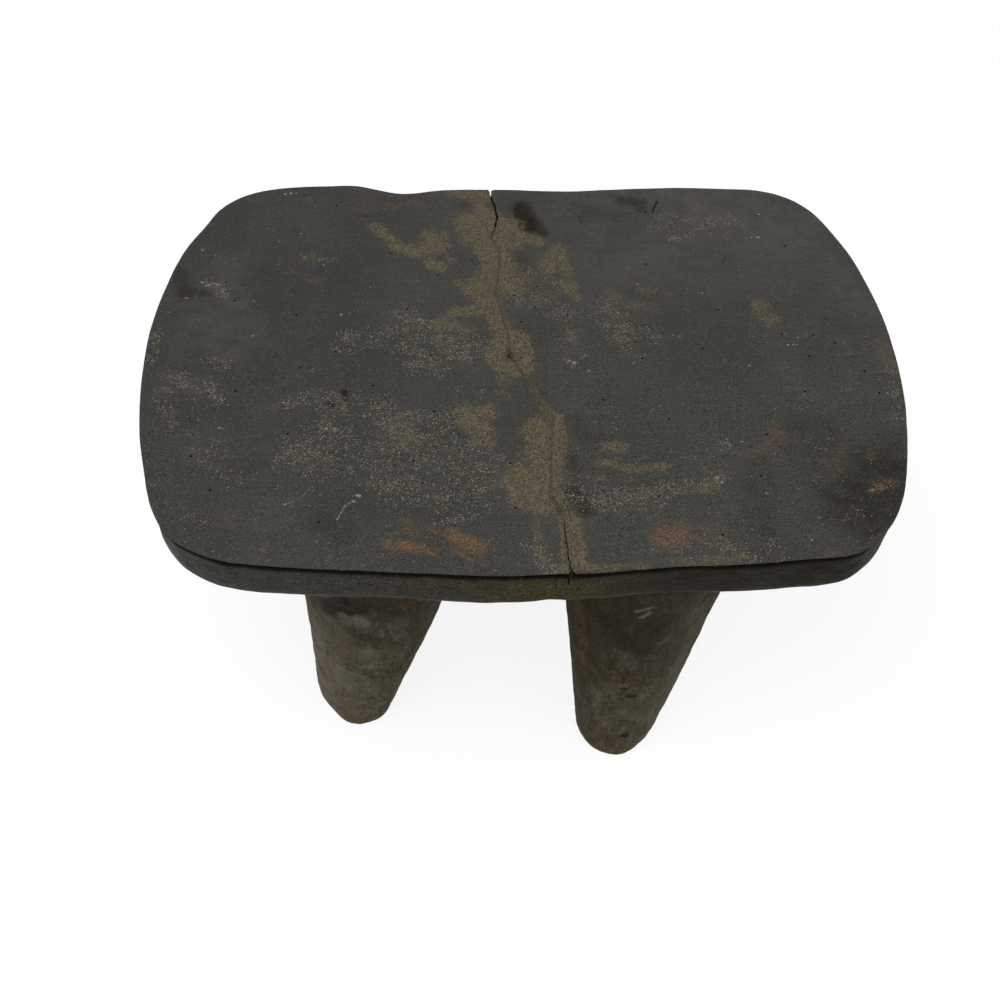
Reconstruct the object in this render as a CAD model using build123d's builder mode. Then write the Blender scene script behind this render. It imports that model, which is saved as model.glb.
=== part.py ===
"""Four-legged carved wooden headrest: a dished slab on four leaning, tapered legs.

Millimetres, +Z up, +X along the length of the seat, +Y to the rear. The origin is on the floor,
below the middle of the seat. The slab has split right through from rear to front, so it is two
halves with a strip of old filler between them; the legs run up to its underside.
"""
import os
from build123d import *

# ---- seat: plan ----
seat_length = 380.0          # across the tips of the two bulged ends
seat_depth = 262.0           # across the middles of the two long sides
side_bulge = 7.0             # how far a long side bows out between its corners
end_bulge = 28.0             # how far an end bows out between its corners
corner_radius = 50.0

# ---- seat: height and section ----
seat_height = 180.0          # floor to the lowest point of the top, at mid-seat
seat_thickness = 25.0
dish_depth = 7.5             # how much higher the ends of the top stand than its middle
rim_radius = 1.0             # worn arris around the top
lower_edge_radius = 2.0      # rounding around the underside

# ---- crack: x in mm, y as a share of half the seat depth, from the rear edge to the front ----
crack_gap = 1.0
crack_route = [
    (-14.0, 1.00), (-12.5, 0.90), (-10.0, 0.81), (-14.0, 0.68), (-9.5, 0.57), (-13.0, 0.36),
    (-7.0, 0.12), (-4.0, -0.05), (7.0, -0.21), (13.5, -0.34), (10.5, -0.66), (15.5, -0.78),
    (17.0, -1.00),
]
filler_rear_share = 0.65     # the filler stops short of the rear edge ...
filler_front_share = -0.78   # ... and of the front edge
filler_recess = 0.4          # the filler has sunk this far below both faces of the slab

# ---- legs ----
leg_setback = 55.0           # from the long edge of the seat in to the middle of a leg's root
leg_spread = 132.0           # between the roots of the left and the right legs
leg_shift = -2.75            # both pairs stand this much off the middle of the seat
front_left_lean = (-25.0, -23.5)     # from the middle of the root to the middle of the foot
front_right_lean = (-8.5, -46.5)
rear_left_lean = (-12.0, 45.0)
rear_right_lean = (12.0, 37.0)
front_left_radii = (45.5, 23.0)      # at the root and at the foot
front_right_radii = (48.0, 21.5)
rear_left_radii = (46.0, 22.0)
rear_right_radii = (46.0, 22.0)
foot_rounding = 3.0

# ---- worked out from the sizes above ----
half_length = seat_length / 2
half_depth = seat_depth / 2
dish_radius = (half_length ** 2 + dish_depth ** 2) / (2 * dish_depth)
dish_centre_height = seat_height + dish_radius
underside_radius = dish_radius + seat_thickness
underside_height = seat_height - seat_thickness
root_x = leg_spread / 2
root_y = half_depth - leg_setback
overrun = seat_thickness     # how far the cutting shapes reach past what they cut


def seat_plan():
    """Outline of the seat: four bowed sides with rounded corners."""
    corner_x = half_length - end_bulge
    corner_y = half_depth - side_bulge
    with BuildSketch(Plane.XY) as plan:
        with BuildLine():
            ThreePointArc((-corner_x, -corner_y), (0, -half_depth), (corner_x, -corner_y))
            ThreePointArc((corner_x, -corner_y), (half_length, 0), (corner_x, corner_y))
            ThreePointArc((corner_x, corner_y), (0, half_depth), (-corner_x, corner_y))
            ThreePointArc((-corner_x, corner_y), (-half_length, 0), (-corner_x, -corner_y))
        make_face()
        fillet(plan.vertices(), radius=corner_radius)
    return plan.sketch


def plank_section(recess=0.0):
    """Side view of the dished plank: the band between two arcs about one centre."""
    with BuildSketch(Plane.XZ) as section:
        with Locations((0, dish_centre_height)):
            Circle(underside_radius - recess)
            Circle(dish_radius + recess, mode=Mode.SUBTRACT)
    return section.sketch


def crack_wall(shift):
    """Plan of one wall of the crack, from behind the rear edge to ahead of the front edge."""
    wall = [(x + shift, share * half_depth) for x, share in crack_route]
    behind = (wall[0][0], half_depth + overrun)
    ahead = (wall[-1][0], -half_depth - overrun)
    return [behind, *wall, ahead]


def seat_half(name, side):
    """One half of the slab: side is -1 for the left of the crack and 1 for the right."""
    wall = crack_wall(side * crack_gap / 2)
    far_x = side * (half_length + overrun)
    with BuildPart() as half:
        with BuildSketch(Plane.XY):
            add(seat_plan())
        extrude(amount=seat_height + dish_depth + overrun)
        with BuildSketch(Plane.XZ):
            add(plank_section())
        extrude(amount=seat_depth, both=True, mode=Mode.INTERSECT)
        faces = half.faces().sort_by(Axis.Z)
        fillet(faces[0].edges(), radius=lower_edge_radius)
        top = half.faces().filter_by(GeomType.CYLINDER).sort_by(Axis.Z)[-1]
        fillet(top.edges(), radius=rim_radius)
        with BuildSketch(Plane.XY):
            with BuildLine():
                Polyline((far_x, wall[0][1]), *wall, (far_x, wall[-1][1]), close=True)
            make_face()
        extrude(amount=seat_height + dish_depth + overrun, mode=Mode.INTERSECT)
    half.part.label = name
    export_step(half.part, f"parts/{name}.step")
    return half.part


def filler_strip(name):
    """Old filler packed into the middle stretch of the crack."""
    left_wall = crack_wall(-crack_gap / 2)
    right_wall = crack_wall(crack_gap / 2)
    length = (filler_rear_share - filler_front_share) * half_depth
    middle = (filler_rear_share + filler_front_share) / 2 * half_depth
    with BuildPart() as filler:
        with BuildSketch(Plane.XY):
            with BuildLine():
                Polyline(*left_wall, *reversed(right_wall), close=True)
            make_face()
            with Locations((0, middle)):
                Rectangle(seat_length, length, mode=Mode.INTERSECT)
        extrude(amount=seat_height + dish_depth + overrun)
        with BuildSketch(Plane.XZ):
            add(plank_section(filler_recess))
        extrude(amount=seat_depth, both=True, mode=Mode.INTERSECT)
    filler.part.label = name
    export_step(filler.part, f"parts/{name}.step")
    return filler.part


def leg(name, root, lean, radii):
    """A leaning tapered leg with a flat foot, cut off above by the underside of the seat."""
    root_radius, foot_radius = radii
    foot = (root[0] + lean[0], root[1] + lean[1])
    # the cone runs on past the root, at the same taper and lean, to be cut off by the seat
    run_on = seat_height / underside_height - 1
    above = (root[0] - lean[0] * run_on, root[1] - lean[1] * run_on)
    with BuildPart() as carved:
        with BuildSketch(Plane.XY):
            with Locations(foot):
                Circle(foot_radius)
        with BuildSketch(Plane.XY.offset(seat_height)):
            with Locations(above):
                Circle(root_radius + (root_radius - foot_radius) * run_on)
        loft()
        fillet(carved.faces().sort_by(Axis.Z)[0].edges(), radius=foot_rounding)
        with BuildSketch(Plane.XZ):
            with Locations((0, dish_centre_height)):
                Circle(underside_radius)
        extrude(amount=seat_depth, both=True, mode=Mode.SUBTRACT)
    carved.part.label = name
    export_step(carved.part, f"parts/{name}.step")
    return carved.part


os.makedirs("parts", exist_ok=True)

seat_half("seat_left", -1)
seat_half("seat_right", 1)
filler_strip("crack_filler")
leg("leg_front_left", (leg_shift - root_x, -root_y), front_left_lean, front_left_radii)
leg("leg_front_right", (leg_shift + root_x, -root_y), front_right_lean, front_right_radii)
leg("leg_rear_left", (leg_shift - root_x, root_y), rear_left_lean, rear_left_radii)
leg("leg_rear_right", (leg_shift + root_x, root_y), rear_right_lean, rear_right_radii)
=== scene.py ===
# Looks of a carved four-legged headrest: a dished slab of dark worn wood, split from rear to
# front, on four adzed legs. Metres, in the frame of the solids: +Z up, +Y to the rear.
import math

import bmesh
import bpy
import numpy as np
from mathutils import Matrix, Vector, noise
from mathutils.geometry import convex_hull_2d, delaunay_2d_cdt


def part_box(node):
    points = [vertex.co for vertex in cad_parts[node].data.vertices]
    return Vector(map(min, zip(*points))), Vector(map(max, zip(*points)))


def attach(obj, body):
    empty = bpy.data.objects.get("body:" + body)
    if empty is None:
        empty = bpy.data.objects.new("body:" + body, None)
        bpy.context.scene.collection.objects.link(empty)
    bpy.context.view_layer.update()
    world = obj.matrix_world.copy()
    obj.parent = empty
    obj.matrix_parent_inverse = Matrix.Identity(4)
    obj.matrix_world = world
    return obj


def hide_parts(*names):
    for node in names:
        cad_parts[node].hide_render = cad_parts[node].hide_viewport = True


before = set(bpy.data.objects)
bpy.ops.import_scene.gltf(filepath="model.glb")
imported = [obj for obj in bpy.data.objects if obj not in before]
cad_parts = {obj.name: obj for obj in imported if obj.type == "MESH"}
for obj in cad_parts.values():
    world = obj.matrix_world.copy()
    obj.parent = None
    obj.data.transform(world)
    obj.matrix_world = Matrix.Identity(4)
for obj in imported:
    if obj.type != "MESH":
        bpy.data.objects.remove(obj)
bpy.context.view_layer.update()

MM = 0.001

# ---- sizes taken from the solids ----
low = [min(a, b) for a, b in zip(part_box("seat_left")[0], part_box("seat_right")[0])]
high = [max(a, b) for a, b in zip(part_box("seat_left")[1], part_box("seat_right")[1])]
THICKNESS = 25 * MM
TOP_MIDDLE = low[2] + THICKNESS
DISH = high[2] - TOP_MIDDLE
HALF_LENGTH = (high[0] - low[0]) / 2
HALF_DEPTH = (high[1] - low[1]) / 2
DISH_RADIUS = (HALF_LENGTH ** 2 + DISH ** 2) / (2 * DISH)

# ---- how fine the carved surfaces are ----
OUTLINE_STEP = 1.2 * MM
CRACK_STEP = 0.6 * MM
TOP_STEP = 1.9 * MM
UNDERSIDE_STEP = 3.0 * MM

# Side of the slab from the arris down: drop below the top, and how far in from the outline, in mm.
# The wood is cut back sharply just below the arris, and is only a little rounded at its lower edge.
SIDE_PROFILE = [
    (0.6, 0.0), (0.9, 0.4), (1.2, 1.4), (1.6, 2.6), (2.2, 3.3), (2.8, 3.0), (3.2, 2.0), (3.5, 1.1),
    (4.2, 0.6), (5.6, 0.45), (8.0, 0.4), (12.0, 0.3), (16.0, 0.1), (20.8, 0.1), (22.8, 0.3),
    (24.2, 0.8), (24.8, 1.6), (25.0, 2.9),
]
# Rounding of the arris: how far in from the outline, and the drop there, in mm.
ARRIS = [(0.3, 0.25), (0.8, 0.08), (1.7, 0.0)]
# Where the underside hangs lower along the front: middle, reach along x, and amount, in mm.
SAGS = [(-22, 30, 1.6), (-125, 45, 1.6), (122, 45, 2.5)]

# Where the carver's outline bows out (+) or in (-): middle, reach and amount, in mm.
OUTLINE_BOWS = [
    (-114, 131, 22, 2.4), (-92, 131, 9, 2.0), (-64, 131, 12, -3.9), (30, 131, 22, -1.8),
    (92, 130, 24, 1.6), (-173, 93, 12, -2.5), (172, 96, 11, -1.0), (-165, -113, 11, 1.3),
    (-16, -131, 20, 1.1), (61, -131, 16, -1.0), (148, -122, 10, 2.2), (30, -131, 14, 0.5),
    (166, -112, 9, 0.5),
]

# The split, from the rear edge to the front edge: x, y and its width, in mm.
CRACK = [
    (-14, 131, 1.7), (-14, 127, 0.9), (-13, 120, 1.6), (-11, 112, 1.3), (-10, 106, 1.1), (-14, 90, 0.5),
    (-10, 78, 0.4), (-10, 69, 0.35), (-13, 47, 0.4), (-7, 15, 0.3), (-6, 0, 0.3), (1, -15, 0.6),
    (8, -31, 1.4), (13, -40, 1.5), (12, -50, 0.4), (10, -86, 0.35), (15, -103, 0.5), (16, -120, 0.7),
    (17, -131, 1.0),
]
FILLER_REAR = 0.65 * HALF_DEPTH
FILLER_FRONT = -0.78 * HALF_DEPTH
# Down the front face the split leans to the left and closes: lean over the whole thickness, how
# far to each side the wood leans with it, and the depth at which it has closed.
CRACK_LEAN, CRACK_LEAN_REACH, CRACK_CLOSES = -3.5 * MM, 22 * MM, 12 * MM

# ---- marks on the top: soft strokes with start, end and reach in mm, and strength ----
# olive-brown dust and filler rubbed over the wood
DIRT = [
    ((-36, 129), (-17, 124), 5, 1.0), ((-24, 122), (-17, 114), 4, 0.8),
    ((-20, 112), (-14, 108), 6, 0.9), ((-25, 101), (-7, 98), 10, 1.0), ((-24, 90), (-4, 88), 9, 1.0),
    ((3, 90), (11, 86), 4.5, 0.9), ((-15, 79), (-10, 67), 9, 1.0), ((-15, 60), (-7, 53), 9, 1.0),
    ((-23, 51), (-17, 38), 7, 0.9), ((-15, 35), (-12, 22), 5, 1.0), ((-10, 17), (-4, 10), 6, 1.0),
    ((-13, 8), (-14, -5), 5, 0.9), ((0, 12), (1, -8), 5, 1.0), ((-11, -7), (-4, -9), 5, 0.95),
    ((-20, 33), (-34, 31), 4, 0.85), ((-35, 31), (-44, 21), 4, 0.7), ((-44, 16), (-41, 4), 4, 0.5),
    ((-40, 21), (-26, 18), 2.5, 0.6), ((-32, 52), (-27, 46), 4, 0.6), ((-79, 97), (-68, 84), 4, 0.85),
    ((-68, 82), (-56, 76), 4, 0.95), ((-56, 78), (-46, 82), 6, 0.9), ((-49, 91), (-44, 80), 5, 0.85),
    ((-40, 93), (-38, 82), 2.5, 0.7), ((-48, 69), (-43, 65), 4.5, 0.9), ((-38, 78), (-37, 70), 3, 0.5),
    ((-32, 87), (-31, 86), 2.5, 0.6), ((23, 78), (16, 66), 6, 0.75), ((23, 78), (27, 60), 4, 0.7),
    ((25, 54), (30, 42), 4, 0.55), ((3, 58), (9, 52), 4, 0.45), ((7, 38), (16, 44), 4, 0.55),
    ((26, 18), (27, 13), 2.5, 0.75), ((47, 46), (53, 40), 4, 0.5), ((58, 35), (70, 33), 4, 0.5),
    ((46, 31), (50, 24), 4, 0.4), ((53, 20), (52, 8), 5, 0.4), ((66, 46), (80, 43), 3.5, 0.4),
    ((16, 112), (36, 110), 5, 0.28), ((-12, -14), (-8, -20), 3, 0.5), ((-14, -25), (-9, -27), 3, 0.55),
    ((4, -22), (8, -32), 1.0, 1.0), ((8, -32), (13, -40), 2.0, 1.0), ((6, -49), (11, -58), 8.5, 1.0),
    ((8, -60), (8, -78), 8.5, 1.0), ((-4, -79), (4, -84), 8, 1.0), ((-2, -90), (6, -94), 6.5, 0.95),
    ((-7, -83), (-5, -92), 4.5, 0.9), ((16, -42), (16, -62), 3.0, 1.0),
    ((13, -86), (18, -100), 1.8, 0.9), ((19, -103), (20, -125), 4.0, 1.0),
    ((14, -100), (14, -128), 1.6, 0.9), ((2, -104), (4, -124), 2.5, 0.5),
    ((12, -129), (50, -128), 2.0, 0.7), ((-30, -37), (-18, -38), 5, 0.8),
    ((-28, -44), (-20, -51), 6, 0.8), ((-24, -56), (-17, -57), 4, 0.5),
    ((-62, -46), (-58, -54), 6, 0.45), ((36, -60), (46, -60), 3.4, 0.75),
    ((33, -70), (48, -73), 3, 0.6), ((48, -73), (66, -73), 3.4, 0.6), ((20, -76), (46, -81), 2.4, 0.5),
    ((46, -90), (84, -88), 2.2, 0.42), ((127, 33), (131, 22), 5.5, 0.6),
    ((122, 24), (124, 20), 4, 0.35), ((84, -86), (92, -80), 3, 0.55), ((62, -128), (96, -126), 3, 0.5),
    ((-121, -120), (-120, -116), 2, 0.5), ((-120, 122), (-117, 118), 2.5, 0.4),
    ((-172, -96), (-166, -92), 4, 0.3), ((-115, 70), (-106, 67), 4, 0.3),
    ((104, 112), (114, 104), 5, 0.35),
]
# orange-brown wood bared where the black surface has rubbed away
ORANGE = [
    ((-66, -115), (-45, -119), 3.2, 0.75), ((-58, -116), (-50, -118), 2.8, 0.95),
    ((-57, -104), (-50, -110), 4.4, 0.5), ((-46, -107), (-38, -110), 4.0, 0.42),
    ((-36, -111), (-25, -117), 5.0, 0.95), ((-34, -119), (-23, -126), 2.8, 0.5),
    ((61, -113), (67, -111), 7, 0.9), ((70, -111), (84, -113), 6, 0.35),
    ((121, -50), (124, -57), 4, 0.5), ((120, -60), (107, -66), 4, 0.4),
    ((146, -78), (152, -64), 5, 0.25), ((148, -94), (149, -104), 4, 0.2),
    ((160, -91), (164, -89), 2.2, 0.6), ((166, -88), (170, -86), 2.0, 0.4),
    ((163, -72), (167, -68), 3, 0.3), ((-128, 62), (-106, 53), 2.5, 0.3),
    ((-113, 54), (-108, 51), 2.6, 0.45), ((-92, 112), (-54, 117), 4, 0.36),
    ((-174, 92), (-166, 96), 3, 0.2), ((-159, 112), (-152, 118), 3, 0.2),
    ((-148, 97), (-147, 92), 2.5, 0.2), ((-155, 78), (-152, 75), 3, 0.15),
    ((-142, -106), (-138, -104), 3, 0.3), ((130, -126), (150, -121), 0.8, 0.5),
    ((152, -120), (164, -112), 0.9, 0.35), ((166, 104), (170, 96), 4, 0.3),
    ((184, 2), (187, -20), 4, 0.4),
]
# greyish, rubbed and dusty places
PALE = [
    ((-166, 14), (-150, 8), 15, 0.75), ((-160, 2), (-170, -2), 8, 0.6),
    ((-158, 46), (-148, 34), 7, 0.9), ((-150, 34), (-132, 8), 8, 0.5),
    ((-174, -22), (-152, -26), 7, 0.6), ((-160, 60), (-152, 58), 5, 0.5),
    ((-150, -62), (-112, -74), 16, 0.35), ((-150, -100), (-120, -112), 22, 0.3),
    ((168, 56), (178, 30), 10, 0.5), ((180, 30), (184, -10), 6, 0.5),
    ((136, -114), (150, -116), 5, 0.3), ((-60, -20), (-20, -30), 12, 0.25),
    ((60, 70), (120, 90), 30, 0.6), ((30, 0), (60, -20), 16, 0.25), ((104, 112), (150, 92), 26, 0.9),
    ((56, 120), (96, 122), 14, 0.7),
]
# dark places: soaked wood, and a painted soft shadow just right of the split
DARK = [
    ((4, 114), (6, 106), 6, 1.0), ((4, 106), (8, 99), 6.5, 1.1), ((12, 98), (15, 93), 4, 0.7),
    ((62, 120), (72, 117), 5, 0.6), ((70, 116), (72, 112), 4, 0.6), ((-90, -25), (-89, -30), 1.7, 1.0),
    ((-97, -33), (-95, -34), 2.0, 0.8), ((110, -72), (104, -100), 10, 0.28),
    # the strokes near (22, -72) and (24, -92), just right of the split, are the painted soft shadow
    ((104, -100), (106, -120), 10, 0.28), ((21, -68), (23, -76), 4, 0.4),
    ((21, -88), (26, -96), 5, 0.6), ((24, -44), (34, -56), 7, 0.3), ((-97, -103), (-86, -110), 8, 0.36),
    ((-182, 54), (-176, 40), 6, 0.5), ((-172, 41), (-164, 40), 3, 0.5), ((2, 74), (6, 60), 4, 0.35),
    ((-8, 2), (-7, 0), 2.2, 0.9), ((150, -100), (166, -84), 9, 0.12), ((168, -60), (160, -80), 7, 0.3),
    ((142, -104), (152, -112), 6, 0.4), ((-130, -58), (-108, -48), 4, 0.2),
    ((-140, -76), (-128, -70), 6, 0.3), ((140, -62), (160, -104), 24, 0.36),
    ((156, -100), (168, -84), 24, 0.6), ((40, 110), (58, 108), 7, 0.3),
    ((-30, 118), (-22, 112), 4, 0.2),
]
# fine pale speckle
SPECKLE = [
    ((-66, -44), (-56, -56), 9, 1.0), ((-54, -42), (-30, -44), 8, 0.9),
    ((-50, -54), (-22, -60), 8, 0.75), ((-100, -30), (-70, -36), 9, 0.7),
    ((-110, -30), (-118, -34), 6, 0.8), ((-92, 8), (-60, 20), 9, 0.7), ((-58, 22), (-30, 8), 12, 0.9),
    ((-58, 4), (-44, -10), 9, 0.9), ((-100, -62), (-20, -78), 18, 0.7),
    ((-56, -88), (-40, -92), 7, 0.8), ((-84, -74), (-66, -84), 8, 0.8),
    ((-98, -44), (-92, -52), 5, 0.9), ((0, 44), (20, 30), 9, 0.7), ((4, 60), (24, 52), 8, 0.7),
    ((20, -88), (60, -92), 6, 1.0), ((28, -94), (44, -98), 4, 0.7), ((54, -88), (90, -82), 4, 0.9),
    ((70, -66), (100, -62), 4, 0.5), ((0, -118), (8, -128), 6, 0.8), ((44, 34), (56, 4), 9, 0.75),
    ((62, 20), (70, 10), 6, 0.7), ((84, 100), (118, 96), 10, 0.5), ((60, -118), (110, -124), 7, 0.6),
    ((86, 86), (98, 88), 4, 0.8), ((-172, -20), (-166, -24), 4, 1.0),
    ((-156, -24), (-150, -32), 4, 1.0), ((-152, -64), (-140, -80), 9, 0.55),
    ((-176, -30), (-172, -50), 5, 0.6), ((-164, 48), (-156, 40), 4, 1.0),
    ((-117, 70), (-101, 69), 2.5, 0.85), ((-186, 10), (-186, -10), 3, 0.8),
    ((156, -92), (170, -86), 4, 0.7), ((136, -112), (150, -106), 5, 0.3),
    ((182, -20), (182, -50), 5, 0.7), ((22, -4), (26, -8), 2.5, 1.0), ((24, 12), (30, 0), 3, 0.7),
    ((-14, 4), (-40, -2), 3, 0.7), ((-154, -6), (-150, -12), 4, 0.6),
    ((-40, -104), (-28, -100), 3, 0.7),
]

# Small single flecks of bare pale wood: x, y and radius in mm.
FLECKS = [
    (-171, 73, 0.9), (-131, 122, 1.1), (-128, 123, 1.1), (-125, 123, 0.8), (-120, 89, 0.7),
    (-94, 28, 1.1), (-90, 29, 0.6), (-64, 27, 0.6), (-168, 48, 1.0), (-165, 46, 1.3), (-160, 47, 0.8),
    (-157, 42, 0.9), (-175, 36, 0.9), (-138, 11, 0.9), (-153, -26, 0.8), (-152, -30, 0.7),
    (-148, -50, 1.0), (-91, -63, 0.7), (-74, -78, 0.8), (-80, -89, 1.6), (-82, -92, 1.0),
    (-113, -94, 1.0), (104, -59, 0.8), (98, 43, 0.8), (138, 104, 0.9), (135, 85, 1.2), (131, 85, 0.8),
    (140, 3, 1.0), (137, 3, 0.8), (142, 3, 0.7), (143, 8, 0.6), (129, 17, 0.7), (127, 10, 0.6),
    (115, -10, 0.8), (127, -117, 0.7), (75, -93, 0.6), (111, -90, 0.9), (-8, 82, 0.6), (64, 51, 0.9),
    (89, -80, 1.3), (91, -83, 0.9), (26, -5, 1.2), (24, -4, 0.9), (33, -11, 0.6), (-54, 25, 0.6),
    (44, -49, 0.6), (-119, -33, 0.7), (-140, 36, 0.8), (-97, -49, 0.8), (160, -91, 1.0),
]
# Beetle holes: how many, how far they keep from the outline and from each other, and their draw.
HOLE_COUNT, HOLE_MARGIN, HOLE_SPACING, HOLE_SEED = 52, 8 * MM, 12 * MM, 4
HOLE_RADIUS, HOLE_DEPTH = 0.55 * MM, 1.5 * MM
# Pale scores: their points, half width in mm, strength.
SCORES = [
    ([(-80, -90), (-86, -95), (-89, -102)], 0.35, 0.75),
    ([(-113, -94), (-107, -91), (-102, -84)], 0.3, 0.55), ([(-79, -116), (-73, -107)], 0.25, 0.4),
    ([(78, -65), (84, -75), (89, -80)], 0.3, 0.4),
    ([(-4, 0), (-22, -1), (-36, -1), (-42, -7)], 0.3, 0.4), ([(27, 9), (29, 1)], 0.3, 0.4),
    ([(56, -92), (58, -100)], 0.25, 0.4), ([(-47, -96), (-48, -101)], 0.25, 0.4),
    ([(-134, -44), (-120, -49), (-113, -56)], 0.25, 0.25), ([(18, -40), (24, -36)], 0.3, 0.4),
    ([(19, -99), (27, -92)], 0.3, 0.4), ([(124, -108), (130, -115)], 0.25, 0.3),
    ([(166, -100), (171, -88)], 0.35, 0.3), ([(159, -106), (164, -97)], 0.35, 0.25),
    ([(150, -110), (157, -104)], 0.3, 0.2),
]
# Black checks and scratches cut into the top: their points, half width in mm, strength.
CHECKS = [
    ([(78, 109), (82, 118)], 0.45, 1.0),
    ([(-137, -61), (-128, -56), (-119, -49), (-112, -47)], 0.3, 0.4), ([(9, -88), (13, -95)], 0.3, 0.6),
    ([(16, -91), (18.5, -102)], 0.3, 0.6), ([(-3, 74), (-2.6, 62)], 0.25, 0.35),
    ([(36, 106), (37, 100)], 0.3, 0.6), ([(-16, 98), (-15.5, 88)], 0.3, 0.4),
    ([(112, 66), (114, 70)], 0.3, 0.6), ([(9, -43), (12.5, -49)], 0.3, 0.5),
    ([(97, 9), (99, 16)], 0.3, 0.5),
]
GROOVE_DEPTH = 0.5 * MM

# ---- marks on the front legs: from and to (angle around the leg, height in mm), reach, strength
LEG_PALE = {
    "leg_front_left": [
        ((-119, 66), (-89, 62), 1.1, 0.8), ((-118, 66), (-115, 65), 2.0, 1.0),
        ((-114, 119), (-108, 117), 5, 0.6), ((-102, 122), (-100, 118), 4, 0.8),
        ((-143, 105), (-139, 82), 6, 0.6), ((-96, 92), (-94, 85), 4, 0.6),
        ((-123, 46), (-121, 40), 4, 0.6), ((-90, 40), (-88, 34), 3, 0.5),
        ((-132, 132), (-150, 120), 5, 0.6), ((-62, 84), (-58, 78), 7, 0.4),
        ((-80, 118), (-74, 112), 4, 0.4), ((-86, 112), (-83, 104), 1.0, 0.8),
    ],
    "leg_front_right": [
        ((-104, 134), (-94, 139), 0.9, 1.0), ((-100, 130), (-95, 135), 0.9, 1.0),
        ((-54, 72), (-52, 115), 5, 0.55), ((-62, 139), (-58, 120), 5, 0.45),
        ((-100, 75), (-98, 72), 1.6, 0.7), ((-112, 100), (-104, 92), 8, 0.35),
        ((-84, 108), (-72, 116), 2.5, 0.5), ((-130, 62), (-126, 40), 5, 0.4),
        ((-96, 46), (-88, 40), 4, 0.4),
    ],
}
LEG_DARK = {
    "leg_front_left": [
        ((-125, 122), (-108, 132), 9, 0.8), ((-92, 138), (-74, 130), 9, 0.6),
        ((-48, 70), (-52, 80), 5, 0.6), ((-65, 130), (-65, 130), 1.8, 1.0),
        ((-108, 108), (-96, 104), 5, 0.5), ((-72, 56), (-60, 60), 7, 0.4),
    ],
    "leg_front_right": [
        ((-127, 131), (-126, 129), 1.6, 1.0), ((-89, 22), (-84, 22), 2.4, 1.0),
        ((-103, 69), (-100, 69), 1.4, 1.0), ((-95, 62), (-90, 62), 2.4, 0.8),
        ((-115, 112), (-98, 106), 9, 0.6), ((-120, 120), (-108, 134), 8, 0.5),
        ((-86, 128), (-96, 118), 7, 0.5),
    ],
}
LEG_RUST = {
    "leg_front_left": [
        ((-155, 26), (-140, 16), 4, 0.8), ((-140, 16), (-118, 13), 6, 0.9),
        ((-118, 12), (-91, 6), 4, 0.9), ((-72, 132), (-58, 128), 5, 0.6),
        ((-92, 140), (-84, 142), 5, 0.4), ((-150, 60), (-146, 50), 5, 0.3),
    ],
    "leg_front_right": [
        ((-152, 122), (-146, 89), 5, 0.7), ((-146, 89), (-144, 72), 4, 0.6),
        ((-102, 144), (-92, 146), 4, 0.3), ((-125, 23), (-122, 19), 4, 0.9),
        ((-144, 4), (-100, 5), 5, 0.9), ((-100, 5), (-55, 8), 4, 0.8),
        ((-105, 70), (-99, 74), 2.0, 0.9), ((-92, 71), (-88, 68), 1.8, 0.8),
        ((-129, 133), (-124, 127), 3, 0.7),
    ],
}
# Where a foot's rim has worn or broken away: middle angle, spread in degrees, height and depth in mm.
FOOT_CHIPS = {
    "leg_front_left": [(-140, 27, 24, 3.5), (-25, 24, 80, 1.8)],
    "leg_front_right": [(-150, 20, 8, 0.4), (-45, 24, 14, 2.0)],
    "leg_rear_left": [(60, 30, 10, 3.0), (-150, 24, 8, 2.0)], "leg_rear_right": [(130, 26, 8, 3.0)],
}
# How much darker each leg is all over, from 0 to 1.
LEG_TONE = {"leg_front_left": -0.05, "leg_front_right": 0.52, "leg_rear_left": 0.3, "leg_rear_right": 0.4}


# ---------------------------------------------------------------- helpers
def blend_step(edge0, edge1, x):
    """Smooth step from 0 at edge0 to 1 at edge1."""
    t = np.clip((x - edge0) / (edge1 - edge0), 0.0, 1.0)
    return t * t * (3 - 2 * t)


def wander(x, y, z, size, seed):
    """Smooth noise from -1 to 1 that changes over about size metres."""
    return noise.noise(Vector((x, y, z)) / size + Vector((seed, 0.7 * seed, 1.3 * seed)))


def top_arc(x):
    """Height of the dished top at x, without its hand-made unevenness."""
    return TOP_MIDDLE + DISH_RADIUS - math.sqrt(DISH_RADIUS ** 2 - min(abs(x), HALF_LENGTH) ** 2)


def top_height(x, y):
    return top_arc(x) + 0.30 * MM * wander(x, y, 0, 45 * MM, 3) + 0.12 * MM * wander(x, y, 0, 12 * MM, 5)


def sag(x, y):
    """How much lower than an even plank the underside hangs."""
    lowest = sum(depth * math.exp(-((x / MM - middle) / reach) ** 2) for middle, reach, depth in SAGS)
    return lowest * MM * float(blend_step(-40 * MM, -115 * MM, y))


def stroke_field(points, strokes):
    """Strength of the strongest stroke at each plan point: full near its line, soft beyond."""
    field = np.zeros(len(points))
    for start, end, reach, strength in strokes:
        a, b = np.array(start) * MM, np.array(end) * MM
        along = np.clip(((points - a) @ (b - a)) / max((b - a) @ (b - a), 1e-12), 0, 1)
        away = np.linalg.norm(points - a - along[:, None] * (b - a), axis=1) / (reach * MM)
        field = np.maximum(field, strength * (1 - blend_step(0.35, 1.6, away)))
    return field


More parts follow.
